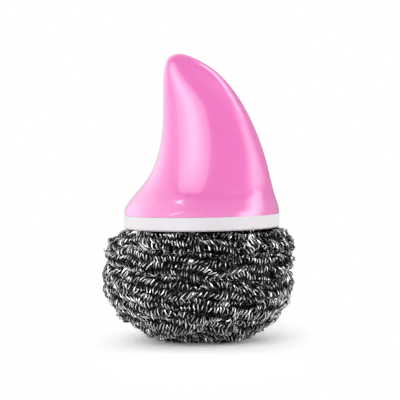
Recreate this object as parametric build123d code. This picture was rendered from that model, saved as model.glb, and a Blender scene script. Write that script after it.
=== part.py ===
from build123d import *

import math
import os

# Pot scrubber: a ball of knitted steel mesh under a white screw collar, with a hollow fin-shaped
# handle. The collar screws up into the handle and holds the ball's plate between them.
# Millimetres, +Z up. The origin is on the table under the middle of the ball.

# Driving dimensions
ball_radius = 43.0
ball_height = 50.5
collar_radius = 35.0
collar_height = 6.0
fin_height = 72.0
fin_wall = 2.4
soft_gap = 0.3
overrun = 1.0

collar_bottom = ball_height
collar_top = collar_bottom + collar_height

# Knitted sleeve, rolled up and wound round the ball
roll_diameter = 7.0
roll_pitch = 8.1
roll_sides = 8
roll_flat_share = 0.1
roll_inner_start_radius = 19.0
roll_inner_end_radius = 6.6
widest_height_share = 0.535
underside_depth_share = 0.53
shoulder_power = 6.5
underside_power = 2.1
roll_wave_share = 0.012
# Lobes of the ball: turns of the wave per turn of the ball, share of the radius, phase in degrees
lobe_shares = [(1, 0.015, 180.0), (2, 0.010, 35.0), (3, 0.007, 100.0)]
profile_steps = 240
core_profile_steps = 10
gap_steps_per_turn = 48
heading_step_turns = 0.002

# Gathered neck of the ball and the wire that ties it
neck_radius = 11.4
tie_wire_diameter = 1.2
tie_wire_sides = 6
tie_pitch = 1.75
tie_turns = 2.0
tie_below_collar = 1.6

# Claw anchor inside the ball
anchor_stem_radius = 4.5
anchor_arm_count = 6
anchor_arm_reach = 18.0
anchor_arm_width = 3.4
anchor_arm_thickness = 2.6
anchor_tip_height = 3.4
anchor_hub_radius = 7.5
anchor_depth = 15.5
anchor_seat_depth = 1.0

# Screw and washer that pull the anchor up to the plate
anchor_screw_radius = 2.0
anchor_screw_length = 13.0
screw_head_radius = 3.6
screw_head_height = 2.2
screw_head_edge_share = 0.35
screw_slot_width = 0.9
screw_slot_depth = 1.1
screw_fit = 0.05
washer_radius = 5.0
washer_thickness = 0.8

# Plate that the ball hangs from
plate_radius = 16.0
plate_thickness = 1.8
plate_hub_radius = 12.6
plate_hub_drop = 2.7
plate_fit = 0.4
bite_ring_height = 0.7
bite_ring_width = 1.2
bite_ring_radii = [7.2, 10.4]
lug_count = 4
lug_depth = 1.1
lug_angle = 22.0
lug_fit = 0.3

# White collar
collar_web = 2.0
collar_rim_wall = 2.0
collar_foot_chamfer = 0.6
collar_neck_wall = 2.6
collar_neck_height = 9.5
collar_rib_count = 12
collar_rib_width = 1.4
collar_rib_height = 2.2
collar_rib_gap = 0.8

# Two-start thread between collar and handle
thread_lead = 6.0
thread_starts = 2
thread_height = 1.0
thread_crest_width = 0.8
thread_root_width = 1.5
thread_run = 7.0
thread_gap = 0.35
thread_sink = 0.4
thread_lower_margin = 1.1

# Threaded insert in the handle
insert_wall = 2.1
insert_deck = 2.0
insert_bottom_gap = 0.5
press_tube_wall = 1.8
insert_screw_spread = 8.0
insert_screw_radius = 1.6
insert_screw_length = 11.0
insert_screw_head_radius = 3.0
insert_screw_head_height = 1.9

# Fin handle. The side outline runs up the trailing edge, over the tip and down the leading edge:
# share of the collar's radius, share of the fin's height
fin_side_shares = [
    (-1.000, 0.000),
    (-0.998, 0.024),
    (-0.944, 0.078),
    (-0.856, 0.130),
    (-0.690, 0.227),
    (-0.578, 0.335),
    (-0.502, 0.480),
    (-0.474, 0.640),
    (-0.467, 0.800),
    (-0.453, 0.905),
    (-0.402, 0.974),
    (-0.290, 1.000),
    (-0.150, 0.990),
    (0.000, 0.956),
    (0.178, 0.900),
    (0.416, 0.778),
    (0.606, 0.627),
    (0.745, 0.470),
    (0.838, 0.325),
    (0.904, 0.185),
    (0.954, 0.095),
    (0.992, 0.030),
    (1.000, 0.000),
]
# The front outline, from the base to the tip, in the same shares
fin_front_shares = [
    (1.000, 0.000),
    (0.958, 0.024),
    (0.852, 0.078),
    (0.735, 0.130),
    (0.606, 0.227),
    (0.510, 0.335),
    (0.415, 0.480),
    (0.342, 0.640),
    (0.265, 0.800),
    (0.186, 0.905),
    (0.090, 0.974),
    (0.000, 1.000),
]
fin_section_count = 24
fin_cavity_section_count = 12
fin_tip_land = 0.12
fin_cavity_top_share = 0.86
fin_rib_thickness = 1.8
fin_boss_radius = 3.4
fin_boss_height = 18.0

# Levels and radii that follow from the sizes above
plate_bottom = collar_bottom + collar_web
plate_top = plate_bottom + plate_thickness
plate_hub_bottom = plate_bottom - plate_hub_drop
collar_neck_inner = plate_radius + plate_fit
collar_neck_outer = collar_neck_inner + collar_neck_wall
collar_opening = plate_hub_radius + plate_fit
collar_neck_top = plate_bottom + collar_neck_height
male_crest = collar_neck_outer + thread_height
socket_bore = male_crest + thread_gap
socket_outer = socket_bore + insert_wall
insert_bottom = plate_bottom + insert_bottom_gap
deck_bottom = collar_neck_top + insert_bottom_gap
deck_top = deck_bottom + insert_deck
press_outer = collar_neck_inner - plate_fit
press_inner = press_outer - press_tube_wall
thread_start_level = plate_bottom + thread_lower_margin
roll_radius = roll_diameter / 2
roll_top_centre = ball_height - soft_gap - roll_radius
roll_foot_centre = roll_radius - roll_diameter * roll_flat_share
widest_level = ball_height * widest_height_share
neck_top = plate_hub_bottom - bite_ring_height - soft_gap
anchor_top = plate_hub_bottom + anchor_seat_depth
anchor_bottom = anchor_top - anchor_depth


def tube(outer_radius, inner_radius, low, high):
    """A round tube on the Z axis between two levels."""
    height = high - low
    wall = Cylinder(outer_radius, height) - Cylinder(inner_radius, height + 2 * overrun)
    return Pos(0, 0, low + height / 2) * wall


def disc(radius, low, high):
    """A plain disc on the Z axis between two levels."""
    return Pos(0, 0, (low + high) / 2) * Cylinder(radius, high - low)


def around(shape, count, first_angle=0.0):
    """Copies of a shape at even angles round the Z axis."""
    return [Rot(0, 0, first_angle + 360.0 * i / count) * shape for i in range(count)]


# Knitted steel ball


def ball_profile(radius, top_level, foot_level, foot_depth):
    """Half outline (radius, level) of a ball with square shoulders and a flattened foot."""
    points = []
    for i in range(profile_steps + 1):
        angle = math.pi * i / profile_steps
        power = shoulder_power if angle < math.pi / 2 else underside_power
        depth = top_level - widest_level if angle < math.pi / 2 else foot_depth
        across = radius * math.sin(angle) ** (2 / power)
        up = math.copysign(abs(math.cos(angle)) ** (2 / power), math.cos(angle))
        points.append((across, max(widest_level + depth * up, foot_level)))
    return points


def trimmed(points, first_radius, last_radius):
    """The part of a half outline from a radius on its top to a radius on its foot."""
    middle = max(range(len(points)), key=lambda i: points[i][0])
    upper = [p for p in points[:middle] if p[0] > first_radius]
    lower = [p for p in points[middle:] if p[0] > last_radius]
    return [(first_radius, upper[0][1]), *upper, *lower, (last_radius, lower[-1][1])]


def along(points, distance):
    """The point at a distance along a half outline."""
    for (r0, z0), (r1, z1) in zip(points, points[1:]):
        step = math.hypot(r1 - r0, z1 - z0)
        if distance <= step:
            share = distance / step if step else 0.0
            return r0 + (r1 - r0) * share, z0 + (z1 - z0) * share
        distance -= step
    return points[-1]


def length_of(points):
    return sum(math.hypot(b[0] - a[0], b[1] - a[1]) for a, b in zip(points, points[1:]))


def roll_centre_line():
    """The line that the middle of the roll follows, from the neck down to the foot."""
    radius = ball_radius - roll_radius
    depth = ball_height * underside_depth_share
    whole = ball_profile(radius, roll_top_centre, roll_foot_centre, depth)
    return trimmed(whole, roll_inner_start_radius, roll_inner_end_radius)


centre_line = roll_centre_line()
start_room = math.hypot(roll_inner_start_radius, roll_diameter) - roll_inner_start_radius
end_room = math.hypot(roll_inner_end_radius, roll_diameter) - roll_inner_end_radius
wound_length = length_of(centre_line) - start_room - end_room
quarter_turns = int(4 * wound_length / roll_pitch)
roll_turns = quarter_turns / 4
even_pitch = wound_length / roll_turns


def roll_point(turn):
    """A point on the roll's centre line after a number of turns round the ball."""
    opening = start_room * (1 - max(0.0, 1 - 2 * turn) ** 2)
    closing = end_room * max(0.0, 2 * (turn - roll_turns) + 1) ** 2
    r, z = along(centre_line, even_pitch * turn + opening + closing)
    angle = math.tau * turn
    side = math.sin(math.pi * (z - roll_foot_centre) / (roll_top_centre - roll_foot_centre))
    swell = sum(s * math.cos(n * angle + math.radians(p)) for n, s, p in lobe_shares)
    r *= 1 + swell * side
    z += ball_height * roll_wave_share * side * math.sin(2 * angle)
    return Vector(r * math.cos(angle), r * math.sin(angle), z)


def heading_at(point_at, turn):
    ahead = point_at(turn + heading_step_turns)
    behind = point_at(turn - heading_step_turns)
    return (ahead - behind).normalized()


def biarc(start, start_heading, end, end_heading):
    """Two arcs that join two points with the given headings and meet tangentially."""
    chord = end - start
    both = start_heading + end_heading
    a = 2 * (start_heading.dot(end_heading) - 1)
    b = -2 * chord.dot(both)
    c = chord.dot(chord)
    reach = 2 * c / (-b + math.sqrt(b * b - 4 * a * c))
    knee_in = start + start_heading * reach
    knee_out = end - end_heading * reach
    joint = (knee_in + knee_out) * 0.5
    joint_heading = (knee_out - knee_in).normalized()
    return [
        Edge.make_tangent_arc(start, start_heading, joint),
        Edge.make_tangent_arc(joint, joint_heading, end),
    ]


def winding(point_at, quarters, diameter, sides):
    """One unbroken tube along biarcs of a quarter turn, with both ends run straight."""
    points = [point_at(i / 4) for i in range(quarters + 1)]
    headings = [heading_at(point_at, i / 4) for i in range(quarters + 1)]
    edges = [Edge.make_line(points[0] - headings[0] * diameter, points[0])]
    for i in range(quarters):
        edges += biarc(points[i], headings[i], points[i + 1], headings[i + 1])
    edges.append(Edge.make_line(points[-1], points[-1] + headings[-1] * diameter))
    path = Wire(edges)
    flat_down = 180 / sides
    outline = RegularPolygon(diameter / 2, sides, rotation=flat_down)
    section = Plane(origin=path @ 0, z_dir=path % 0) * outline
    return sweep(section, path=path)


def least_roll_gap():
    """The least gap between neighbouring turns, measured on points of the centre line."""
    count = int(roll_turns * gap_steps_per_turn)
    points = [roll_point(i / gap_steps_per_turn) for i in range(count + 1)]
    apart = gap_steps_per_turn // 2
    return (
        min(
            (points[j] - points[i]).length
            for i in range(len(points))
            for j in range(i + apart, min(len(points), i + 2 * gap_steps_per_turn))
        )
        - roll_diameter
    )


def make_scourer_roll():
    """The rolled-up knitted sleeve as one unbroken winding, pressed flat where it stands."""
    roll = winding(roll_point, quarter_turns, roll_diameter, roll_sides)
    below = Pos(0, 0, -ball_radius) * Box(4 * ball_radius, 4 * ball_radius, 2 * ball_radius)
    return roll - below


def make_anchor(grow=0.0):
    """The claw: a stem, a hub and arms with upturned tips. grow gives the room round it."""
    stem = disc(anchor_stem_radius + grow, anchor_bottom - grow, anchor_top)
    hub_top = anchor_bottom + anchor_arm_thickness
    hub = disc(anchor_hub_radius + grow, anchor_bottom - grow, hub_top + grow)
    tip = anchor_arm_thickness / 2
    side = Polyline(
        (0.0, anchor_bottom - grow),
        (anchor_arm_reach - tip, anchor_bottom - grow),
        (anchor_arm_reach + grow, anchor_bottom + tip),
        (anchor_arm_reach + grow, hub_top + anchor_tip_height + grow),
        (anchor_arm_reach - tip - grow, hub_top + anchor_tip_height / 2 + grow),
        (anchor_arm_reach - 2 * tip - grow, hub_top + grow),
        (0.0, hub_top + grow),
        close=True,
    )
    face = Plane.XZ * make_face(side)
    arm = extrude(face, amount=anchor_arm_width / 2 + grow, both=True)
    return stem + hub + around(arm, anchor_arm_count)


def screw_hole_depth():
    return washer_thickness + anchor_screw_length


def make_anchor_claw():
    hole_top = plate_top + washer_thickness
    hole = disc(anchor_screw_radius, hole_top - screw_hole_depth(), anchor_top + overrun)
    return make_anchor() - hole


def make_scourer_core():
    """The folded mesh inside the ball, with its gathered neck, round the claw."""
    inset = roll_diameter + soft_gap
    largest_lobe = ball_radius * sum(s for _, s, _ in lobe_shares)
    radius = ball_radius - inset - largest_lobe
    top = roll_top_centre - roll_radius - soft_gap
    foot = roll_foot_centre + roll_radius + soft_gap
    depth = ball_height * underside_depth_share - roll_radius
    points = trimmed(ball_profile(radius, top, foot, depth), neck_radius, neck_radius)
    step = length_of(points) / core_profile_steps
    outline = [along(points, step * i) for i in range(core_profile_steps + 1)]
    outline += [(0.0, foot), (0.0, neck_top), (neck_radius, neck_top)]
    body = revolve(Plane.XZ * make_face(Polyline(outline, close=True)), axis=Axis.Z)
    return body - make_anchor(grow=soft_gap)


def tie_point(turn):
    """A point on the tie wire's centre line, climbing evenly round the neck."""
    radius = neck_radius + soft_gap + tie_wire_diameter / 2
    level = collar_bottom - tie_below_collar + tie_pitch * (turn - tie_turns)
    return Vector(radius * math.cos(math.tau * turn), radius * math.sin(math.tau * turn), level)


def make_neck_tie():
    """Turns of wire that gather the neck, with both ends run straight."""
    return winding(tie_point, int(4 * tie_turns), tie_wire_diameter, tie_wire_sides)


def make_ball_plate():
    """The plate that the ball hangs from: flange, hub, biting rings and notches for the handle."""
    flange = disc(plate_radius, plate_bottom, plate_top)
    hub = disc(plate_hub_radius, plate_hub_bottom, plate_bottom)
    plate = flange + hub
    for radius in bite_ring_radii:
        ridge = Polyline(
            (radius - bite_ring_width / 2, plate_hub_bottom),
            (radius + bite_ring_width / 2, plate_hub_bottom),
            (radius, plate_hub_bottom - bite_ring_height),
            close=True,
        )
        plate += revolve(Plane.XZ * make_face(ridge), axis=Axis.Z)
    seat_radius = anchor_stem_radius + lug_fit
    plate -= disc(seat_radius, plate_hub_bottom - overrun, anchor_top + screw_fit)
    plate -= disc(anchor_screw_radius + lug_fit, plate_hub_bottom, plate_top + overrun)
    notch = lug(press_outer + lug_fit, press_inner - lug_fit, lug_fit)
    return plate - around(notch, lug_count)


def lug(outer_radius, inner_radius, grow):
    """One driving lug of the press tube, or with grow the notch that it drops into."""
    low = plate_top - lug_depth - grow
    high = plate_top + (overrun if grow else 0.0)
    ring = tube(outer_radius, inner_radius, low, high)
    half_width = math.radians(lug_angle / 2) * press_outer + grow
    block = Box(2 * press_outer, 2 * half_width, high - low + 2 * overrun)
    return ring & (Pos(press_outer, 0, (low + high) / 2) * block)


def make_screw(shank_radius, length, head_radius, head_height):
    """A blunt round-headed screw with a slot, its seat at the origin and its tip down."""
    head = Pos(0, 0, head_height / 2) * Cylinder(head_radius, head_height)
    head = chamfer(head.edges().group_by(Axis.Z)[-1], screw_head_edge_share * head_height)
    slot = Pos(0, 0, head_height) * Box(4 * head_radius, screw_slot_width, 2 * screw_slot_depth)
    shank = Pos(0, 0, -length / 2) * Cylinder(shank_radius, length)
    return head + shank - slot


def make_anchor_screw():
    screw = make_screw(
        anchor_screw_radius - screw_fit, anchor_screw_length, screw_head_radius, screw_head_height
    )
    return Pos(0, 0, plate_top + washer_thickness) * screw


def make_anchor_washer():
    bore = anchor_screw_radius + lug_fit
    return tube(washer_radius, bore, plate_top, plate_top + washer_thickness)


# Thread ribs


def thread_ribs(root_radius, direction, start_angle):
    """Ribs of the two-start thread: direction 1 stands outwards from a neck, -1 inwards from a bore."""
    path = Helix(pitch=thread_lead, height=thread_run, radius=root_radius)
    plane = Plane(origin=path @ 0, x_dir=(1, 0, 0), z_dir=path % 0)
    crest = direction * thread_height
    sink = -direction * thread_sink
    section = Polyline(
        (sink, -thread_root_width / 2),
        (0.0, -thread_root_width / 2),
        (crest, -thread_crest_width / 2),
        (crest, thread_crest_width / 2),
        (0.0, thread_root_width / 2),
        (sink, thread_root_width / 2),
        close=True,
    )
    rib = sweep(plane * make_face(section), path=path, is_frenet=True)
    rib = Pos(0, 0, thread_start_level) * rib
    return around(rib, thread_starts, start_angle)


# White screw collar


def make_screw_collar():
    """A shallow tray with a threaded neck; its web bears on the ball and carries the plate."""
    rim = disc(collar_radius, collar_bottom, collar_top)
    rim = chamfer(rim.edges().group_by(Axis.Z)[0], collar_foot_chamfer)
    rim -= disc(collar_radius - collar_rim_wall, plate_bottom, collar_top + overrun)
    neck = disc(collar_neck_outer, collar_bottom, collar_neck_top)
    collar = rim + neck
    collar -= disc(collar_neck_inner, plate_bottom, collar_neck_top + overrun)
    collar -= disc(collar_opening, collar_bottom - overrun, plate_bottom + overrun)
    rib_inner = socket_outer + collar_rib_gap
    rib_outer = collar_radius - collar_rim_wall / 2
    rib = Box(rib_outer - rib_inner, collar_rib_width, collar_rib_height + collar_web / 2)
    rib_level = plate_bottom + (collar_rib_height - collar_web / 2) / 2
    rib = Pos((rib_inner + rib_outer) / 2, 0, rib_level) * rib
    collar += around(rib, collar_rib_count)
    return collar + thread_ribs(collar_neck_outer, 1, 0.0)


# Fin handle


def fin_outline(shares):
    """Points along a smooth outline given in shares of the collar's radius and fin's height."""
    edge = Spline([(collar_radius * x, fin_height * z) for x, z in shares])
    return [edge @ (i / profile_steps) for i in range(profile_steps + 1)]


def crossings(points, height):
    """Where a line of points crosses a height, from first to last."""
    found = []
    for a, b in zip(points, points[1:]):
        if min(a.Y, b.Y) <= height <= max(a.Y, b.Y) and a.Y != b.Y:
            found.append(a.X + (b.X - a.X) * (height - a.Y) / (b.Y - a.Y))
    return found


fin_far_side_shares = [(-x, z) for x, z in reversed(fin_front_shares[:-1])]
side_points = fin_outline(fin_side_shares)
front_points = fin_outline(fin_front_shares + fin_far_side_shares)
fin_peak = min(max(p.Y for p in side_points), max(p.Y for p in front_points))


def fin_section(height, inset):
    """(middle, half chord, half thickness) of the fin at a height above its base."""
    met = crossings(side_points, height)
    trailing, leading = min(met), max(met)
    half_thickness = crossings(front_points, height)[0]
    return (trailing + leading) / 2, (leading - trailing) / 2 - inset, half_thickness - inset


def fin_solid(inset, top_height, section_count, ruled):
    """The fin as a loft through level ellipses, spaced closer at its base and top."""
    faces = []
    for i in range(section_count + 1):
        height = top_height * (1 - math.cos(math.pi * i / section_count)) / 2
        middle, half_chord, half_thickness = fin_section(height, inset)
        face = Pos(middle, 0, collar_top + height) * Ellipse(half_chord, half_thickness)
        faces.append(face)
    return loft(faces, ruled=ruled)


def make_fin_shell():
    """The hollow fin, with two cross ribs inside that carry the bosses for the insert's screws."""
    outside = fin_solid(0.0, fin_peak - fin_tip_land, fin_section_count, False)
    cavity_top = fin_height * fin_cavity_top_share
    cavity = fin_solid(fin_wall, cavity_top, fin_cavity_section_count, True)
    shell = outside - cavity
    rib = Box(fin_rib_thickness, 2 * collar_radius, fin_height)
    boss = Cylinder(fin_boss_radius, fin_boss_height)
    pilot = Cylinder(insert_screw_radius, insert_screw_length)
    for x in (-insert_screw_spread, insert_screw_spread):
        shell += (Pos(x, 0, deck_top + fin_height / 2) * rib) & cavity
        shell += (Pos(x, 0, deck_top + fin_boss_height / 2) * boss) & cavity
    for x in (-insert_screw_spread, insert_screw_spread):
        shell -= Pos(x, 0, deck_top + insert_screw_length / 2 - overrun) * pilot
    return shell


def make_thread_insert():
    """The white insert in the fin: threaded socket, deck, and the tube that presses on the plate."""
    socket = tube(socket_outer, socket_bore, insert_bottom, deck_bottom)
    deck = disc(socket_outer, deck_bottom, deck_top)
    press = tube(press_outer, press_inner, plate_top, deck_bottom)
    insert = deck + socket + press
    insert += around(lug(press_outer, press_inner, 0.0), lug_count)
    hole = Cylinder(insert_screw_radius + lug_fit, insert_deck + 2 * overrun)
    for x in (-insert_screw_spread, insert_screw_spread):
        insert -= Pos(x, 0, (deck_bottom + deck_top) / 2) * hole
    half_turn_between_starts = 180.0 / thread_starts
    return insert + thread_ribs(socket_bore, -1, half_turn_between_starts)


def make_insert_screws():
    """Both screws that hold the insert to the fin's bosses, heads down."""
    screw = make_screw(
        insert_screw_radius - screw_fit,
        insert_screw_length,
        insert_screw_head_radius,
        insert_screw_head_height,
    )
    screw = Rot(180, 0, 0) * screw
    return [Pos(x, 0, deck_bottom) * screw for x in (-insert_screw_spread, insert_screw_spread)]


def main():
    parts = {
        "scourer_roll": make_scourer_roll(),
        "scourer_core": make_scourer_core(),
        "neck_tie": make_neck_tie(),
        "anchor_claw": make_anchor_claw(),
        "anchor_screw": make_anchor_screw(),
        "anchor_washer": make_anchor_washer(),
        "ball_plate": make_ball_plate(),
        "screw_collar": make_screw_collar(),
        "fin_shell": make_fin_shell(),
        "thread_insert": make_thread_insert(),
        "insert_screws": Compound(make_insert_screws()),
    }
    os.makedirs("parts", exist_ok=True)
    for name, shape in parts.items():
        export_step(shape, f"parts/{name}.step")
    print("roll turns", roll_turns, "least gap to itself", round(least_roll_gap(), 2))


main()
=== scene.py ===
import math

import bmesh
import bpy
import numpy as np
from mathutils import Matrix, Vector


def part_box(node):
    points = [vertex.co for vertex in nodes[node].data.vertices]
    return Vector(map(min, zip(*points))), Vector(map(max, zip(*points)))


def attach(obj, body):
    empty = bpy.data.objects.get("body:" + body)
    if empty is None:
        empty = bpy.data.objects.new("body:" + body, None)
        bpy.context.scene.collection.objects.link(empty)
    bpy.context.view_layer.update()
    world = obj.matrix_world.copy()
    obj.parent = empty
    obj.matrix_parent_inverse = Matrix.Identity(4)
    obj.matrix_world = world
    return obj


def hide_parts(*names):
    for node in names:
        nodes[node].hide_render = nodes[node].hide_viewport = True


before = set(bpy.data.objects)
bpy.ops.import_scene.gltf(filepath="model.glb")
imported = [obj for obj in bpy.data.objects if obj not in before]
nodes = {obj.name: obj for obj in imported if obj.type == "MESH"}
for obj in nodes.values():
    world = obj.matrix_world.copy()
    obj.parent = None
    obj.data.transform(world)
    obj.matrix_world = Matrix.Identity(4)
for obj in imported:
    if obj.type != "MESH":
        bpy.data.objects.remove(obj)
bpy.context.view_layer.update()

# pot scrubber: pink fin handle, white collar, ball of knitted steel; metres, +Z up, camera at -Y

scene = bpy.context.scene

# levels that the pieces share, read from the parts in model.glb
collarLow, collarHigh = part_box("screw_collar")
ballTop = collarLow[2]
collarRadius = collarHigh[0]
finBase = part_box("fin_shell")[0][2]
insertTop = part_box("thread_insert")[1][2]

mm = 0.001


def report(text):
    print("scene:", text)


# camera

shot = {
    "elevation": 2.4,           # degrees above level
    "roll": 0.9,                # degrees that the photo leans
    "distance": 0.9,
    "framedWidth": 0.18,        # width of the picture where the scrubber stands
    "aim": (-0.0007, 0.0, 0.0628),
    "sensor": 36.0,
    "nearest": 0.01,
    "farthest": 20.0,
}


def makeCamera():
    data = bpy.data.cameras.new("photoCamera")
    data.sensor_width = shot["sensor"]
    data.lens = shot["sensor"] * shot["distance"] / shot["framedWidth"]
    data.clip_start = shot["nearest"]
    data.clip_end = shot["farthest"]
    camera = bpy.data.objects.new("photoCamera", data)
    scene.collection.objects.link(camera)
    tilt = math.radians(shot["elevation"])
    toCamera = Vector((0.0, -math.cos(tilt), math.sin(tilt)))
    camera.location = Vector(shot["aim"]) + toCamera * shot["distance"]
    look = (-toCamera).to_track_quat("-Z", "Y").to_matrix().to_4x4()
    camera.rotation_euler = look.to_euler()
    camera.rotation_euler.rotate_axis("Z", math.radians(-shot["roll"]))
    scene.camera = camera


# light and studio

studio = {
    "dim": 0.035,               # radiance where no softbox is
    "floorRadius": 3.0,
    "floorSides": 96,
    "floorWhite": 0.93,
    "nearGlow": 0.10,           # share of plain white that the camera sees right under the ball
    "glowStart": 0.018,         # from here to glowEnd the floor turns plain white
    "glowEnd": 0.056,
    "shadowStretch": 3.2,       # depth of the shadowed patch to its width
}
# each softbox: where its middle is seen from the scrubber (azimuth 0 is the camera's side, right
# positive, then elevation), its turn about that middle, its left, right, bottom and top edge in
# degrees from the middle, the softness of those edges, and the radiance
softboxes = {
    "front": {
        "middle": (-26, -6), "turn": 5, "edges": (-34, 31, -39, 76),
        "soft": (3, 2, 8, 4), "radiance": 0.99,
    },
    "leftWall": {
        "middle": (-69, 6), "turn": 0, "edges": (-16, 60, -43, 54),
        "soft": (22, 22, 22, 18), "radiance": 1.1,
    },
    "leftCore": {
        "middle": (-112, 21), "turn": 35, "edges": (-30, 16, -37, 23),
        "soft": (28, 17, 30, 22), "radiance": 1.45,
    },
    "leftHigh": {
        "middle": (-112, 51), "turn": 19, "edges": (-28, 17, -26, 30),
        "soft": (30, 6, 23, 20), "radiance": 0.66,
    },
    "right": {
        "middle": (78, 1), "turn": -38, "edges": (-20, 55, -29, 29),
        "soft": (12, 3, 7, 8), "radiance": 2.4,
    },
    "rightArc": {
        "middle": (116, 56), "turn": 50, "edges": (-31, 4, -10, 7),
        "soft": (4, 5, 10, 6), "radiance": 2.64,
    },
    "rightFoot": {
        "middle": (75, 50), "turn": 50, "edges": (-10, 3, -12, 18),
        "soft": (30, 2, 2, 26), "radiance": 0.6,
    },
    "streak": {
        "middle": (-112, 67), "turn": -18, "edges": (-0.4, 0.4, 0, 9),
        "soft": (0.3, 0.3, 3, 4), "radiance": 7.0,
    },
    "backRight": {
        "middle": (122, 43), "turn": -41, "edges": (-14, 12, -3, 72),
        "soft": (11, 3, 6, 2), "radiance": 0.5,
    },
    "backLeft": {
        "middle": (-158, 15), "turn": 0, "edges": (-22, 26, -55, 60),
        "soft": (12, 14, 20, 20), "radiance": 0.3,
    },
    "backdrop": {
        "middle": (180, 10), "turn": 0, "edges": (-75, 75, -60, 70),
        "soft": (20, 20, 20, 20), "radiance": 0.3,
    },
}
# brighter areas of the front softbox, in the same terms; its own edges cut them off
frontSpots = {
    "frontBright": {
        "middle": (-22, 10), "turn": 14, "edges": (-14, 9, -16, 40),
        "soft": (20, 15, 24, 22), "radiance": 2.31,
    },
    "frontSlant": {
        "middle": (-28, -8), "turn": -50, "edges": (-10, 55, -40, 12),
        "soft": (22, 23, 3, 8), "radiance": 1.76,
    },
}
boxEdges = ("Left", "Right", "Bottom", "Top")
# a broad lamp that fills in where the softboxes leave off; it shows in no reflection
fill = {
    "middle": (72, 24),
    "distance": 1.2,
    "size": 0.9,
    "radiance": 2.0,
}


def addNode(tree, kind, **values):
    node = tree.nodes.new(kind)
    for key, value in values.items():
        setattr(node, key, value)
    return node


def combine(tree, operation, *values, clamp=False):
    # output of a Math node; each value is a socket to link or a plain number
    node = addNode(tree, "ShaderNodeMath", operation=operation, use_clamp=clamp)
    for socket, value in zip(node.inputs, values):
        if isinstance(value, bpy.types.NodeSocket):
            tree.links.new(value, socket)
        else:
            socket.default_value = value
    return node.outputs[0]


def mixShaders(tree, share, first, second):
    mix = addNode(tree, "ShaderNodeMixShader")
    tree.links.new(share, mix.inputs["Fac"])
    tree.links.new(first.outputs[0], mix.inputs[1])
    tree.links.new(second.outputs[0], mix.inputs[2])
    return mix


def addSockets(group, side, kind, *names):
    for name in names:
        group.interface.new_socket(name=name, in_out=side, socket_type="NodeSocket" + kind)


def seenDirectly(tree):
    # 1 on rays from the camera, straight or through something clear
    rays = addNode(tree, "ShaderNodeLightPath").outputs
    return combine(tree, "ADD", rays["Is Camera Ray"], rays["Is Transmission Ray"], clamp=True)


def toward(middle):
    # direction from the scrubber to an azimuth and elevation
    azimuth, elevation = (math.radians(v) for v in middle)
    return Vector((
        math.sin(azimuth) * math.cos(elevation),
        -math.cos(azimuth) * math.cos(elevation),
        math.sin(elevation),
    ))


def softboxAxes(softbox):
    # directions to the softbox's middle, its right and its top
    ahead = toward(softbox["middle"])
    azimuth = math.radians(softbox["middle"][0])
    turn = math.radians(softbox["turn"])
    level = Vector((math.cos(azimuth), math.sin(azimuth), 0.0))
    up = level.cross(-ahead)
    right = level * math.cos(turn) + up * math.sin(turn)
    return ahead, right, up * math.cos(turn) - level * math.sin(turn)


def makeSoftboxGroup():
    # light of one softbox in a direction: what lies inside all four of its soft edges
    group = bpy.data.node_groups.new("softbox", "ShaderNodeTree")
    addSockets(group, "INPUT", "Vector", "Direction", "Ahead", "Right", "Up")
    for edge in boxEdges:
        addSockets(group, "INPUT", "Float", edge + " Edge", edge + " Soft")
    addSockets(group, "INPUT", "Float", "Radiance")
    addSockets(group, "OUTPUT", "Float", "Light")
    link = group.links.new
    given = group.nodes.new("NodeGroupInput")
    result = group.nodes.new("NodeGroupOutput")

    def along(name):
        dot = addNode(group, "ShaderNodeVectorMath", operation="DOT_PRODUCT")
        link(given.outputs["Direction"], dot.inputs[0])
        link(given.outputs[name], dot.inputs[1])
        return dot.outputs["Value"]

    across = combine(group, "DEGREES", combine(group, "ARCTAN2", along("Right"), along("Ahead")))
    upward = combine(group, "DEGREES", combine(group, "ARCSINE", along("Up")))
    light = given.outputs["Radiance"]
    for edge, at in zip(boxEdges, (across, across, upward, upward)):
        limit = given.outputs[edge + " Edge"]
        ends = (at, limit) if edge in ("Left", "Bottom") else (limit, at)
        inside = combine(group, "SUBTRACT", *ends)
        rise = addNode(group, "ShaderNodeMapRange", interpolation_type="SMOOTHSTEP")
        rise.inputs["From Min"].default_value = -1.0
        link(combine(group, "DIVIDE", inside, given.outputs[edge + " Soft"]), rise.inputs["Value"])
        light = combine(group, "MULTIPLY", light, rise.outputs["Result"])
    link(light, result.inputs["Light"])
    return group


def placeSoftbox(tree, group, direction, name, softbox):
    node = addNode(tree, "ShaderNodeGroup", label=name)
    node.node_tree = group
    tree.links.new(direction, node.inputs["Direction"])
    for socket, axis in zip(("Ahead", "Right", "Up"), softboxAxes(softbox)):
        node.inputs[socket].default_value = axis
    for edge, at, soft in zip(boxEdges, softbox["edges"], softbox["soft"]):
        node.inputs[edge + " Edge"].default_value = at
        node.inputs[edge + " Soft"].default_value = soft
    node.inputs["Radiance"].default_value = softbox["radiance"]
    return node


def sumLights(tree, boxes, base):
    # the light of all the boxes on top of a plain level
    total = base
    for box in boxes.values():
        total = combine(tree, "ADD", total, box.outputs["Light"])
    return total


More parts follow.
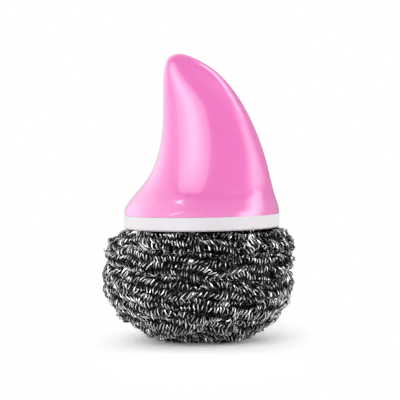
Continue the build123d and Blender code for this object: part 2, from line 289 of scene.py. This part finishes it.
def makeWorld():
    # softboxes painted on the sky, which the camera itself sees as plain white
    world = bpy.data.worlds.new("studioWorld")
    scene.world = world
    world.use_nodes = True
    tree = world.node_tree
    tree.nodes.clear()
    sky = addNode(tree, "ShaderNodeTexCoord").outputs["Generated"]
    group = makeSoftboxGroup()
    boxes, spots = (
        {name: placeSoftbox(tree, group, sky, name, box) for name, box in given.items()}
        for given in (softboxes, frontSpots)
    )
    bright = sumLights(tree, spots, softboxes["front"]["radiance"])
    tree.links.new(bright, boxes["front"].inputs["Radiance"])
    lit = addNode(tree, "ShaderNodeBackground")
    white = addNode(tree, "ShaderNodeBackground")
    for background in (lit, white):
        background.inputs["Color"].default_value = (1.0, 1.0, 1.0, 1.0)
    tree.links.new(sumLights(tree, boxes, studio["dim"]), lit.inputs["Strength"])
    out = addNode(tree, "ShaderNodeOutputWorld")
    mix = mixShaders(tree, seenDirectly(tree), lit, white)
    tree.links.new(mix.outputs[0], out.inputs["Surface"])


def makeFill():
    away = toward(fill["middle"])
    data = bpy.data.lights.new("fill", "AREA")
    data.size = fill["size"]
    data.energy = fill["radiance"] * math.pi * fill["size"] ** 2
    lamp = bpy.data.objects.new("fill", data)
    scene.collection.objects.link(lamp)
    lamp.location = Vector(shot["aim"]) + away * fill["distance"]
    lamp.rotation_euler = away.to_track_quat("Z", "Y").to_euler()
    lamp.visible_glossy = False


def floorMaterial():
    # keeps the shadow near the ball, is plain white to the camera farther off, and clear from below
    material = bpy.data.materials.new("studioFloor")
    material.use_nodes = True
    tree = material.node_tree
    tree.nodes.clear()
    link = tree.links.new
    white = studio["floorWhite"]
    matte = addNode(tree, "ShaderNodeBsdfDiffuse")
    matte.inputs["Color"].default_value = (white, white, white, 1.0)
    glow = addNode(tree, "ShaderNodeEmission")
    clear = addNode(tree, "ShaderNodeBsdfTransparent")
    place = addNode(tree, "ShaderNodeTexCoord")
    squash = addNode(tree, "ShaderNodeVectorMath", operation="MULTIPLY")
    squash.inputs[1].default_value = (1.0, 1.0 / studio["shadowStretch"], 1.0)
    length = addNode(tree, "ShaderNodeVectorMath", operation="LENGTH")
    fade = addNode(tree, "ShaderNodeMapRange", interpolation_type="SMOOTHSTEP")
    fade.inputs["From Min"].default_value = studio["glowStart"]
    fade.inputs["From Max"].default_value = studio["glowEnd"]
    fade.inputs["To Min"].default_value = studio["nearGlow"]
    side = addNode(tree, "ShaderNodeNewGeometry")
    out = addNode(tree, "ShaderNodeOutputMaterial")
    link(place.outputs["Object"], squash.inputs[0])
    link(squash.outputs["Vector"], length.inputs[0])
    link(length.outputs["Value"], fade.inputs["Value"])
    share = combine(tree, "MULTIPLY", seenDirectly(tree), fade.outputs["Result"])
    above = mixShaders(tree, share, matte, glow)
    surface = mixShaders(tree, side.outputs["Backfacing"], above, clear)
    link(surface.outputs[0], out.inputs["Surface"])
    return material


def makeFloor():
    bm = bmesh.new()
    radius = studio["floorRadius"]
    bmesh.ops.create_circle(bm, cap_ends=True, radius=radius, segments=studio["floorSides"])
    mesh = bpy.data.meshes.new("studioFloor")
    bm.to_mesh(mesh)
    bm.free()
    mesh.materials.append(floorMaterial())
    floor = bpy.data.objects.new("studioFloor", mesh)
    scene.collection.objects.link(floor)


# materials

surfaceNoise = {
    "broadDetail": 3.0,
    "fineDetail": 4.0,
    "fineScale": 9.0,           # how many times finer the roughness changes than the tone
    "bumpDepth": 0.0004,
}
finishes = {
    "glossyPink": {
        "colour": (0.715, 0.161, 0.443), "spread": 0.0, "scale": 40.0,
        "roughness": 0.07, "roughSpread": 0.02, "bump": 0.0,
        "fixed": {"Coat Weight": 1.0, "Coat Roughness": 0.04, "Coat IOR": 1.55, "IOR": 1.55},
    },
    "smoothWhite": {
        "colour": (0.605, 0.58, 0.605), "spread": 0.02, "scale": 30.0,
        "roughness": 0.30, "roughSpread": 0.04, "bump": 0.0,
        "fixed": {"IOR": 1.5},
    },
    "brightSteelWire": {
        "colour": (0.97, 0.95, 0.94), "spread": 0.1, "scale": 180.0,
        "roughness": 0.14, "roughSpread": 0.10, "bump": 0.1,
        "fixed": {"Metallic": 1.0},
    },
    "platedSteel": {
        "colour": (0.68, 0.68, 0.66), "spread": 0.15, "scale": 120.0,
        "roughness": 0.22, "roughSpread": 0.1, "bump": 0.05,
        "fixed": {"Metallic": 1.0},
    },
    # near black: painted shade, the darkness between the wires
    "paintedShadeCore": {
        "colour": (0.012, 0.011, 0.010), "spread": 0.8, "scale": 300.0,
        "roughness": 0.6, "roughSpread": 0.3, "bump": 1.0,
        "fixed": {},
    },
}
# low on the fin the pink turns paler, from a little above the insert's top downwards
paleLowBand = {
    "colour": (0.73, 0.195, 0.472),
    "above": 0.0005,            # starts this far above the insert's top
    "below": 0.0035,            # and is full this far below it
}
# painted light on the wires: colour painted darker in the folds and on the under layer (painted
# shade), and lighter on some legs at random (painted glints)
paintedWireShade = {
    "foldShade": 0.012,             # painted shade: colour left in the folds, and on the outer legs
    "legs": 1.0,
    "crispness": 2.5,
    "dimmestLeg": 0.22,            # painted glints: brightness of the dimmest legs, and what the brightest have on top
    "legRange": 0.93,
    "dimmestShare": 0.10,          # share of the legs that are dimmest, and that lie in between
    "betweenShare": 0.50,
}


def makeToneGroup():
    # soft changes of tone, roughness and height that a moulded or drawn surface has
    group = bpy.data.node_groups.new("surfaceTone", "ShaderNodeTree")
    addSockets(group, "INPUT", "Color", "Colour")
    addSockets(group, "INPUT", "Float", "Spread", "Scale", "Roughness", "Roughness Spread", "Bump")
    addSockets(group, "OUTPUT", "Color", "Colour")
    addSockets(group, "OUTPUT", "Float", "Roughness")
    addSockets(group, "OUTPUT", "Vector", "Normal")
    link = group.links.new
    given = group.nodes.new("NodeGroupInput").outputs
    result = group.nodes.new("NodeGroupOutput").inputs
    place = addNode(group, "ShaderNodeTexCoord")
    broad = addNode(group, "ShaderNodeTexNoise")
    fine = addNode(group, "ShaderNodeTexNoise")
    broad.inputs["Detail"].default_value = surfaceNoise["broadDetail"]
    fine.inputs["Detail"].default_value = surfaceNoise["fineDetail"]
    link(place.outputs["Object"], broad.inputs["Vector"])
    link(place.outputs["Object"], fine.inputs["Vector"])
    link(given["Scale"], broad.inputs["Scale"])
    finer = combine(group, "MULTIPLY", given["Scale"], surfaceNoise["fineScale"])
    link(finer, fine.inputs["Scale"])
    change = combine(group, "SUBTRACT", broad.outputs["Fac"], 0.5)
    change = combine(group, "MULTIPLY", change, given["Spread"])
    tone = addNode(group, "ShaderNodeHueSaturation")
    link(combine(group, "ADD", change, 1.0), tone.inputs["Value"])
    link(given["Colour"], tone.inputs["Color"])
    link(tone.outputs["Color"], result["Colour"])
    change = combine(group, "SUBTRACT", fine.outputs["Fac"], 0.5)
    rough = combine(group, "MULTIPLY_ADD", change, given["Roughness Spread"], given["Roughness"])
    link(rough, result["Roughness"])
    bump = addNode(group, "ShaderNodeBump")
    bump.inputs["Distance"].default_value = surfaceNoise["bumpDepth"]
    link(given["Bump"], bump.inputs["Strength"])
    link(broad.outputs["Fac"], bump.inputs["Height"])
    link(bump.outputs["Normal"], result["Normal"])
    return group


def toneMaterial(name, toneGroup):
    finish = finishes[name]
    material = bpy.data.materials.new(name)
    material.use_nodes = True
    tree = material.node_tree
    shader = tree.nodes["Principled BSDF"]
    tone = addNode(tree, "ShaderNodeGroup", name="tone")
    tone.node_tree = toneGroup
    tone.inputs["Colour"].default_value = (*finish["colour"], 1.0)
    tone.inputs["Spread"].default_value = finish["spread"]
    tone.inputs["Scale"].default_value = finish["scale"]
    tone.inputs["Roughness"].default_value = finish["roughness"]
    tone.inputs["Roughness Spread"].default_value = finish["roughSpread"]
    tone.inputs["Bump"].default_value = finish["bump"]
    tree.links.new(tone.outputs["Colour"], shader.inputs["Base Color"])
    tree.links.new(tone.outputs["Roughness"], shader.inputs["Roughness"])
    tree.links.new(tone.outputs["Normal"], shader.inputs["Normal"])
    for key, value in finish["fixed"].items():
        shader.inputs[key].default_value = value
    return material


def pinkMaterial(toneGroup):
    # glossy plastic, a little paler low down
    material = toneMaterial("glossyPink", toneGroup)
    tree = material.node_tree
    place = addNode(tree, "ShaderNodeTexCoord")
    axes = addNode(tree, "ShaderNodeSeparateXYZ")
    low = addNode(tree, "ShaderNodeMapRange", interpolation_type="SMOOTHSTEP")
    low.inputs["From Min"].default_value = insertTop + paleLowBand["above"]
    low.inputs["From Max"].default_value = insertTop - paleLowBand["below"]
    mix = addNode(tree, "ShaderNodeMix", data_type="RGBA")
    mix.inputs["A"].default_value = (*finishes["glossyPink"]["colour"], 1.0)
    mix.inputs["B"].default_value = (*paleLowBand["colour"], 1.0)
    link = tree.links.new
    link(place.outputs["Object"], axes.inputs[0])
    link(axes.outputs["Z"], low.inputs["Value"])
    link(low.outputs["Result"], mix.inputs["Factor"])
    link(mix.outputs["Result"], tree.nodes["tone"].inputs["Colour"])
    return material


def wireMaterial(toneGroup):
    # steel wire whose colour carries painted light: lighter on the outer legs of each loop, painted
    # shade in the folds and on the under layer
    material = toneMaterial("brightSteelWire", toneGroup)
    tree = material.node_tree
    paintedShine = addNode(tree, "ShaderNodeAttribute", attribute_name="paintedShine")
    level = addNode(tree, "ShaderNodeMapRange")
    level.inputs["To Min"].default_value = paintedWireShade["foldShade"]
    level.inputs["To Max"].default_value = paintedWireShade["legs"]
    mix = addNode(tree, "ShaderNodeMix", data_type="RGBA", blend_type="MULTIPLY")
    mix.inputs["Factor"].default_value = 1.0
    link = tree.links.new
    link(paintedShine.outputs["Fac"], level.inputs["Value"])
    link(tree.nodes["tone"].outputs["Colour"], mix.inputs["A"])
    link(level.outputs["Result"], mix.inputs["B"])
    link(mix.outputs["Result"], tree.nodes["Principled BSDF"].inputs["Base Color"])
    return material


# ways in which more than one piece is made


def newPiece(name, bm, material, body, slot, *replaced):
    mesh = bpy.data.meshes.new(name)
    bm.to_mesh(mesh)
    bm.free()
    return finishPiece(name, mesh, material, body, slot, *replaced)


def finishPiece(name, mesh, material, body, slot, *replaced):
    mesh.materials.clear()
    mesh.materials.append(material)
    mesh.polygons.foreach_set("use_smooth", [True] * len(mesh.polygons))
    piece = bpy.data.objects.new(name, mesh)
    scene.collection.objects.link(piece)
    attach(piece, body)
    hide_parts(*replaced)
    return piece


def ringTube(bm, rings):
    # in an empty bmesh, closed rings of equal count joined one to the next; both ends stay open
    made = bmesh.ops.create_circle(bm, cap_ends=False, radius=1.0, segments=len(rings[0]))
    last = made["verts"]
    for vertex, point in zip(last, rings[0]):
        vertex.co = point
    firstEdges = list(bm.edges)
    edges = firstEdges
    for ring in rings[1:]:
        made = bmesh.ops.extrude_edge_only(bm, edges=edges)["geom"]
        fresh = {item for item in made if isinstance(item, bmesh.types.BMVert)}
        edges = [item for item in made if isinstance(item, bmesh.types.BMEdge)]
        edges = [edge for edge in edges if fresh.issuperset(edge.verts)]
        before = set(last)
        partner = {}
        for vertex in fresh:
            for edge in vertex.link_edges:
                other = edge.other_vert(vertex)
                if other in before:
                    partner[other] = vertex
        last = [partner[vertex] for vertex in last]
        for vertex, point in zip(last, ring):
            vertex.co = point
    return firstEdges, edges


def smoothLine(points, count):
    # natural cubic spline through the points, spaced by chord length
    given = np.array(points, float)
    chord = np.linalg.norm(np.diff(given, axis=0), axis=1)
    at = np.concatenate([[0.0], np.cumsum(chord)])
    size = len(at)
    matrix = np.zeros((size, size))
    right = np.zeros((size, given.shape[1]))
    matrix[0, 0] = matrix[-1, -1] = 1.0
    for i in range(1, size - 1):
        matrix[i, i - 1] = chord[i - 1]
        matrix[i, i] = 2.0 * (chord[i - 1] + chord[i])
        matrix[i, i + 1] = chord[i]
        slopeAfter = (given[i + 1] - given[i]) / chord[i]
        slopeBefore = (given[i] - given[i - 1]) / chord[i - 1]
        right[i] = 6.0 * (slopeAfter - slopeBefore)
    bend = np.linalg.solve(matrix, right)
    where = np.linspace(0.0, at[-1], count)
    i = np.clip(np.searchsorted(at, where) - 1, 0, size - 2)
    h = chord[i][:, None]
    a = (at[i + 1][:, None] - where[:, None]) / h
    b = 1.0 - a
    return (
        a * given[i]
        + b * given[i + 1]
        + ((a**3 - a) * bend[i] + (b**3 - b) * bend[i + 1]) * h**2 / 6.0
    )


# fin handle

fin = {
    # side outline: share of the collar's radius, share of the fin's height
    "sideShares": [
        (-1.000, 0.000), (-0.998, 0.024), (-0.944, 0.078), (-0.856, 0.130), (-0.690, 0.227),
        (-0.578, 0.335), (-0.502, 0.480), (-0.474, 0.640), (-0.467, 0.800), (-0.453, 0.905),
        (-0.402, 0.974), (-0.290, 1.000), (-0.150, 0.990), (0.000, 0.956), (0.178, 0.900),
        (0.416, 0.778), (0.606, 0.627), (0.745, 0.470), (0.838, 0.325), (0.904, 0.185),
        (0.954, 0.095), (0.992, 0.030), (1.000, 0.000),
    ],
    # front outline in the same shares, base to tip
    "frontShares": [
        (1.000, 0.000), (0.938, 0.024), (0.825, 0.078), (0.722, 0.130), (0.606, 0.227),
        (0.510, 0.335), (0.415, 0.480), (0.342, 0.640), (0.265, 0.800), (0.186, 0.905),
        (0.090, 0.974), (0.000, 1.000),
    ],
    "outlinePoints": 2400,
    "height": 0.072,
    "wall": 0.0024,
    "rings": 110,
    "cavityRings": 40,
    "ringPoints": 144,
    "cavityTopShare": 0.86,
    "footRound": 0.00015,
    "crestShift": 0.40,         # how far the thickest line moves to the trailing edge near the tip
    "crestStart": 0.66,         # shares of the height over which it moves
    "crestEnd": 0.93,
}


def finOutlines():
    scale = np.array([collarRadius, fin["height"]])
    side = smoothLine(np.array(fin["sideShares"]) * scale, fin["outlinePoints"])
    half = fin["frontShares"]
    far = [(-x, z) for x, z in reversed(half[:-1])]
    front = smoothLine(np.array(half + far) * scale, fin["outlinePoints"])
    peakAt = int(np.argmax(side[:, 1]))
    return side[: peakAt + 1], side[peakAt:][::-1], front[: len(front) // 2]


def finSection(outlines, height, inset):
    # middle, half chord and half thickness at a height
    trailing, leading, front = outlines
    low = np.interp(height, trailing[:, 1], trailing[:, 0])
    high = np.interp(height, leading[:, 1], leading[:, 0])
    half = np.interp(height, front[:, 1], front[:, 0])
    return (low + high) / 2, (high - low) / 2 - inset, half - inset


def finRing(outlines, height, inset):
    middle, chord, half = finSection(outlines, height, inset)
    rise = (height / fin["height"] - fin["crestStart"]) / (fin["crestEnd"] - fin["crestStart"])
    rise = min(max(rise, 0.0), 1.0)
    shift = fin["crestShift"] * rise * rise * (3.0 - 2.0 * rise)
    ring = []
    for i in range(fin["ringPoints"]):
        angle = math.tau * i / fin["ringPoints"]
        across = math.cos(angle) - shift * math.sin(angle) ** 2
        ring.append((middle + chord * across, half * math.sin(angle), finBase + height))
    return ring


def heights(top, count):
    # levels from the base to the top, closer together at both
    return [top * (1 - math.cos(math.pi * i / count)) / 2 for i in range(count + 1)]


def makeFin(material):
    # one wall from the cavity's roof down inside, round the foot and up outside to the tip
    outlines = finOutlines()
    peak = outlines[0][-1, 1]
    inside = heights(fin["height"] * fin["cavityTopShare"], fin["cavityRings"])
    outside = heights(peak, fin["rings"])[:-1]
    foot = fin["footRound"]
    rings = [finRing(outlines, height, fin["wall"]) for height in reversed(inside)]
    rings.append(finRing(outlines, 0.0, foot))
    rings.append(finRing(outlines, foot, 0.0))
    rings += [finRing(outlines, height, 0.0) for height in outside[1:]]
    bm = bmesh.new()
    roof, last = ringTube(bm, rings)
    bmesh.ops.edgeloop_fill(bm, edges=roof)
    tip = bmesh.ops.edgeloop_fill(bm, edges=last)["faces"]
    bmesh.ops.poke(bm, faces=tip)
    bmesh.ops.recalc_face_normals(bm, faces=bm.faces)
    return newPiece("finShell", bm, material, "handle", "pink_plastic", "fin_shell")


# knitted steel ball

winding = {
    "ballRadius": 0.0414,
    "rollDiameter": 0.007,
    "rollRadius": 0.0037,       # of the knit, which stands a little proud of the roll
    "rollBreadth": 1.24,        # the roll's half width beside its half height
    "rollSquareness": 2.9,
    "pitch": 0.0081,
    "startRadius": 0.019,
    "endRadius": 0.0066,
    "widestShare": 0.535,       # shares of the ball's height
    "undersideShare": 0.53,
    "middleShare": 0.47,
    "shoulderPower": 7.5,
    "undersidePower": 1.82,
    "flatShare": 0.1,
    "gap": 0.0003,
    "outwardFlatness": 0.62,
    "outlineSteps": 720,
    "stepsPerTurn": 720,
    # lobes of the ball: waves per turn, share of the radius, phase in degrees
    "lobes": [(1, 0.062, 180.0), (2, 0.012, 35.0), (3, 0.009, 100.0), (5, 0.007, 10.0)],
    "waveShare": 0.014,
    "forwardSag": 0.150,
    "tilt": 0.012,
}
knit = {
    "walePitch": 0.0029,        # loop to loop along the roll, and row to row round it
    "rowPitch": 0.0025,
    "loopHeight": 0.0028,
    "loopLean": 0.16,
    "loopDepth": 0.00065,
    "sway": 0.70,
    "pointsPerLoop": 13,
    "wire": 0.00052,
    "edgeAngle": 55.0,          # the drawn wire is flat sided: sharper bends than this stay crisp
    "turnsPerPiece": 1.6,
    # share of the roll's radius, degrees covered either side of its crest, painted shine (the under
    # layer is painted dark as shade), first seed
    "layers": {"outer": (1.0, 125.0, 1.0, 0), "under": (0.66, 100.0, 0.04, 500)},
    "seedsPerPiece": 1000,
    # crumpling of the whole ball: length of the waves and depth in mm
    "crumples": [(20, 0.80), (6, 0.50), (2, 0.17)],
    "crumpleSeed": 7,
    "lowest": 0.00048,          # the wires are squeezed to stay above this
    "belowCollar": 0.00045,
    "squeezeSoftness": 0.00035,
}
# how the loops of a row differ: amount, and loops from one change to the next
uneven = {
    "width": (0.94, 1.06),
    "height": [(0.15, 5), (0.20, 1)],
    "lean": [(0.5, 4)],
    "rise": [(0.22, 2)],
    "sway": [(1.0, 9), (0.6, 2)],
    "shift": [(0.16, 1)],
    "pulledShare": 0.06,        # share of the loops that stand out, and how far in mm
    "pulled": (0.3, 1.5),
}


def smoothNoise(points, size, seed, waves=9, spread=(0.6, 1.3)):
    # sum of waves in random directions, about one size long
    rng = np.random.default_rng(seed)
    total = np.zeros_like(points)
    for _ in range(waves):
        way = rng.normal(size=3)
        way *= math.tau / size * rng.uniform(*spread) / np.linalg.norm(way)
        total += np.sin(points @ way + rng.uniform(0.0, math.tau))[:, None] * rng.normal(size=3)
    return total / math.sqrt(waves)


def windingTable():
    # half outline that the roll's middle follows, as (radius, level), and its length so far
    w = winding
    radius = w["rollDiameter"] / 2
    top = ballTop - w["gap"] - radius
    foot = radius - w["rollDiameter"] * w["flatShare"]
    widest = ballTop * w["widestShare"]
    angle = np.linspace(0.0, math.pi, w["outlineSteps"] + 1)
    upper = angle < math.pi / 2
    power = np.where(upper, w["shoulderPower"], w["undersidePower"])
    depth = np.where(upper, top - widest, ballTop * w["undersideShare"])
    across = (w["ballRadius"] - radius) * np.sin(angle).clip(0, 1) ** (2 / power)
    rise = np.sign(np.cos(angle)) * np.abs(np.cos(angle)) ** (2 / power)
    level = np.maximum(widest + depth * rise, foot)
    keep = np.where(upper, across > w["startRadius"], across > w["endRadius"])
    r = np.concatenate([[w["startRadius"]], across[keep], [w["endRadius"]]])
    z = np.concatenate([[level[keep][0]], level[keep], [level[keep][-1]]])
    run = np.concatenate([[0.0], np.cumsum(np.hypot(np.diff(r), np.diff(z)))])
    return r, z, run, top, foot


def makeWinding():
    # a function that gives points of the roll's centre line by turns, and the number of turns
    r, z, run, top, foot = windingTable()
    w = winding
    startRoom = math.hypot(w["startRadius"], w["rollDiameter"]) - w["startRadius"]
    endRoom = math.hypot(w["endRadius"], w["rollDiameter"]) - w["endRadius"]
    wound = run[-1] - startRoom - endRoom
    turns = int(4 * wound / w["pitch"]) / 4
    pitch = wound / turns

    def place(turn):
        opening = startRoom * (1 - np.maximum(0.0, 1 - 2 * turn) ** 2)
        closing = endRoom * np.maximum(0.0, 2 * (turn - turns) + 1) ** 2
        reach = pitch * turn + opening + closing
        radius = np.interp(reach, run, r)
        level = np.interp(reach, run, z)
        angle = math.tau * turn
        side = np.sin(np.pi * np.clip((level - foot) / (top - foot), 0, 1))
        swell = sum(s * np.cos(n * angle + math.radians(p)) for n, s, p in w["lobes"])
        radius = radius * (1 + swell * side)
        level = level + ballTop * w["waveShare"] * side * np.sin(2 * angle)
        x = radius * np.cos(angle)
        y = radius * np.sin(angle)
        level = level + side * (w["forwardSag"] * y - w["tilt"] * x)
        return np.stack([x, y, level], axis=-1)

    return place, turns


def windingFrames(place, first, last):
    # centre line from one turn to another, with its outward and sideways directions and its length
    centre = place(np.linspace(first, last, int((last - first) * winding["stepsPerTurn"])))
    along = np.gradient(centre, axis=0)
    step = np.linalg.norm(along, axis=1)
    along /= step[:, None]
    middle = np.array([0.0, 0.0, ballTop * winding["middleShare"]])
    outward = (centre - middle) / np.array([1.0, 1.0, winding["outwardFlatness"]])
    outward -= along * np.sum(outward * along, axis=1)[:, None]
    outward /= np.linalg.norm(outward, axis=1)[:, None]
    sideways = np.cross(along, outward)
    return centre, outward, sideways, np.cumsum(step) - step[0]


def squeeze(points):
    # keeps the wires off the worktop and under the collar
    soft = knit["squeezeSoftness"]
    floor = knit["lowest"]
    ceiling = ballTop - knit["belowCollar"]
    z = points[:, 2]
    z = floor + soft * np.logaddexp(0.0, (z - floor) / soft)
    z = ceiling - soft * np.logaddexp(0.0, (ceiling - z) / soft)
    points[:, 2] = z
    return points


def crumple(points):
    moved = points
    for i, (size, depth) in enumerate(knit["crumples"]):
        moved = moved + smoothNoise(points, size * mm, knit["crumpleSeed"] + i) * depth * mm
    return moved


def wander(rng, t, changes):
    # smooth random values along t: each change has an amount and a number of loops
    total = 0.0
    for amount, spacing in changes:
        knots = np.arange(0.0, t[-1] + 2 * spacing, spacing)
        total = total + amount * np.interp(t, knots, rng.normal(size=len(knots)))
    return total


def knitRow(frames, angle, radius, seed, paintedShine):
    # one row of loops along the roll: its points and the painted light on each, painted shade
    # towards the folds and painted glints on some legs
    centre, outward, sideways, run = frames
    rng = np.random.default_rng(seed)
    wales = max(4, int(run[-1] / (knit["walePitch"] * rng.uniform(*uneven["width"]))))
    t = np.linspace(0.0, wales, wales * knit["pointsPerLoop"])
    phase = math.tau * t
    height = knit["loopHeight"] * (1 + wander(rng, t, uneven["height"]))
    lean = knit["loopLean"] * (1 + wander(rng, t, uneven["lean"]))
    rise = height * (wander(rng, t, uneven["rise"]) - np.cos(phase) / 2)
    sway = knit["sway"] * wander(rng, t, uneven["sway"])
    loops = t + lean * np.sin(2 * phase) + wander(rng, t, uneven["shift"])
    s = np.clip(run[-1] / wales * loops + sway * rise, 0.0, run[-1])
    around = angle + rise / radius
    power = winding["rollSquareness"]
    square = (np.abs(np.cos(around)) ** power + np.abs(np.sin(around)) ** power) ** (-1 / power)
    front = -np.cos(2 * phase)
    pulled = rng.uniform(size=wales + 2) < uneven["pulledShare"]
    pulled = pulled * rng.uniform(*uneven["pulled"], wales + 2)
    pull = np.interp(t, np.arange(0, wales + 2), pulled) * mm
    lift = knit["loopDepth"] * front + pull * np.sin(phase / 2) ** 2
    reach = (square * (radius + lift))[:, None]
    centreAt, outwardAt, sidewaysAt = (
        np.stack([np.interp(s, run, line) for line in lines.T], axis=-1)
        for lines in (centre, outward, sideways)
    )
    out = np.cos(around)[:, None] * outwardAt
    aside = winding["rollBreadth"] * np.sin(around)[:, None] * sidewaysAt
    strand = centreAt + reach * (out + aside)
    # legs made lighter or darker at random stand in for glints (painted highlight); the front term
    # darkens towards the folds (painted shade)
    chance = rng.uniform(size=2 * wales + 2)[(2 * t).astype(int)]
    rank = np.clip((chance - paintedWireShade["dimmestShare"]) / paintedWireShade["betweenShare"], 0.0, 1.0)
    legs = paintedWireShade["dimmestLeg"] + paintedWireShade["legRange"] * rank
    return strand, (0.5 + 0.5 * front) ** paintedWireShade["crispness"] * legs * paintedShine


def wireMesh(name, strands, paintedShades):
    # round wire along the strands, closed at its ends, with the painted light as an attribute
    data = bpy.data.curves.new(name, "CURVE")
    data.dimensions = "3D"
    data.bevel_depth = knit["wire"] / 2
    data.bevel_resolution = 0
    for strand in strands:
        spline = data.splines.new("POLY")
        spline.points.add(len(strand) - 1)
        flat = np.concatenate([strand, np.ones((len(strand), 1))], axis=1)
        spline.points.foreach_set("co", flat.ravel())
    holder = bpy.data.objects.new(name, data)
    scene.collection.objects.link(holder)
    bpy.context.view_layer.update()
    evaluated = holder.evaluated_get(bpy.context.evaluated_depsgraph_get())
    mesh = bpy.data.meshes.new_from_object(evaluated)
    bpy.data.objects.remove(holder)
    bpy.data.curves.remove(data)
    mesh.name = name
    around = len(mesh.vertices) // sum(len(strand) for strand in strands)
    paintedShine = mesh.attributes.new("paintedShine", "FLOAT", "POINT")
    paintedShine.data.foreach_set("value", np.repeat(np.concatenate(paintedShades), around).astype(np.float32))
    bm = bmesh.new()
    bm.from_mesh(mesh)
    openEdges = [edge for edge in bm.edges if edge.is_boundary]
    bmesh.ops.holes_fill(bm, edges=openEdges, sides=around)
    bm.to_mesh(mesh)
    bm.free()
    return mesh


def makeKnitPiece(material, frames, index, layer):
    share, reach, paintedShine, firstSeed = knit["layers"][layer]
    radius = winding["rollRadius"] * share
    rows = max(3, int(round(2 * math.radians(reach) * radius / knit["rowPitch"])))
    strands = []
    paintedShades = []
    for row in range(rows):
        angle = math.radians(reach) * (2 * (row + 0.5) / rows - 1)
        seed = knit["seedsPerPiece"] * index + firstSeed + row
        strand, tone = knitRow(frames, angle, radius, seed, paintedShine)
        strands.append(squeeze(crumple(strand)))
        paintedShades.append(tone)
    name = f"knitRoll{index}{layer}"
    mesh = wireMesh(name, strands, paintedShades)
    mesh.set_sharp_from_angle(angle=math.radians(knit["edgeAngle"]))
    piece = finishPiece(name, mesh, material, "scourer", "steel_mesh", "scourer_roll")
    return len(mesh.polygons)


def makeKnit(material):
    place, turns = makeWinding()
    first = 0.0
    index = 0
    faces = 0
    while first < turns:
        last = min(turns, first + knit["turnsPerPiece"])
        frames = windingFrames(place, first, last)
        for layer in knit["layers"]:
            faces += makeKnitPiece(material, frames, index, layer)
        index += 1
        first = last
    report(f"knitted roll in {index} lengths, faces {faces}")


heart = {
    "inset": 0.0068,            # how deep it lies under the ball's outline
    "shoulderPower": 4.5,
    "segments": 96,
    "rings": 48,
}


def makeHeart(material):
    # a near-black body deep in the ball: painted shade that shows as darkness between the wires
    bm = bmesh.new()
    bmesh.ops.create_uvsphere(
        bm, u_segments=heart["segments"], v_segments=heart["rings"], radius=1.0
    )
    w = winding
    widest = ballTop * w["widestShare"]
    inset = heart["inset"]
    for vertex in bm.verts:
        flat = math.hypot(vertex.co.x, vertex.co.y)
        angle = math.atan2(flat, vertex.co.z)
        turn = math.atan2(vertex.co.y, vertex.co.x)
        if vertex.co.z > 0:
            power = heart["shoulderPower"]
            depth = ballTop - widest - inset
        else:
            power = w["undersidePower"]
            depth = ballTop * w["undersideShare"] - inset
        across = (w["ballRadius"] - inset) * abs(math.sin(angle)) ** (2 / power)
        rise = math.copysign(abs(math.cos(angle)) ** (2 / power), math.cos(angle))
        z = max(widest + depth * rise, inset)
        z += w["forwardSag"] * across * math.sin(turn) * math.sin(math.pi * z / ballTop)
        vertex.co = (across * math.cos(turn), across * math.sin(turn), z)
    bmesh.ops.remove_doubles(bm, verts=bm.verts, dist=1e-6)
    bmesh.ops.recalc_face_normals(bm, faces=bm.faces)
    piece = newPiece("paintedShadeHeart", bm, material, "scourer", "steel_mesh", "scourer_core")


# pieces that keep the solid's own shape

nodeFinishes = {
    "white": ("screw_collar", "thread_insert", "ball_plate", "anchor_claw"),
    "plated": ("neck_tie", "anchor_screw", "anchor_washer", "insert_screws"),
}


def paintNodes(materials):
    for finish, names in nodeFinishes.items():
        for name in names:
            nodes[name].data.materials.clear()
            nodes[name].data.materials.append(materials[finish])


def main():
    makeCamera()
    makeFill()
    makeWorld()
    makeFloor()
    scene.view_settings.view_transform = "Standard"
    report("studio ready")
    toneGroup = makeToneGroup()
    materials = {
        "pink": pinkMaterial(toneGroup),
        "white": toneMaterial("smoothWhite", toneGroup),
        "wire": wireMaterial(toneGroup),
        "plated": toneMaterial("platedSteel", toneGroup),
        "dark": toneMaterial("paintedShadeCore", toneGroup),
    }
    report("materials ready")
    makeFin(materials["pink"])
    paintNodes(materials)
    report("handle and collar ready")
    makeHeart(materials["dark"])
    makeKnit(materials["wire"])
    report("ball ready")


main()
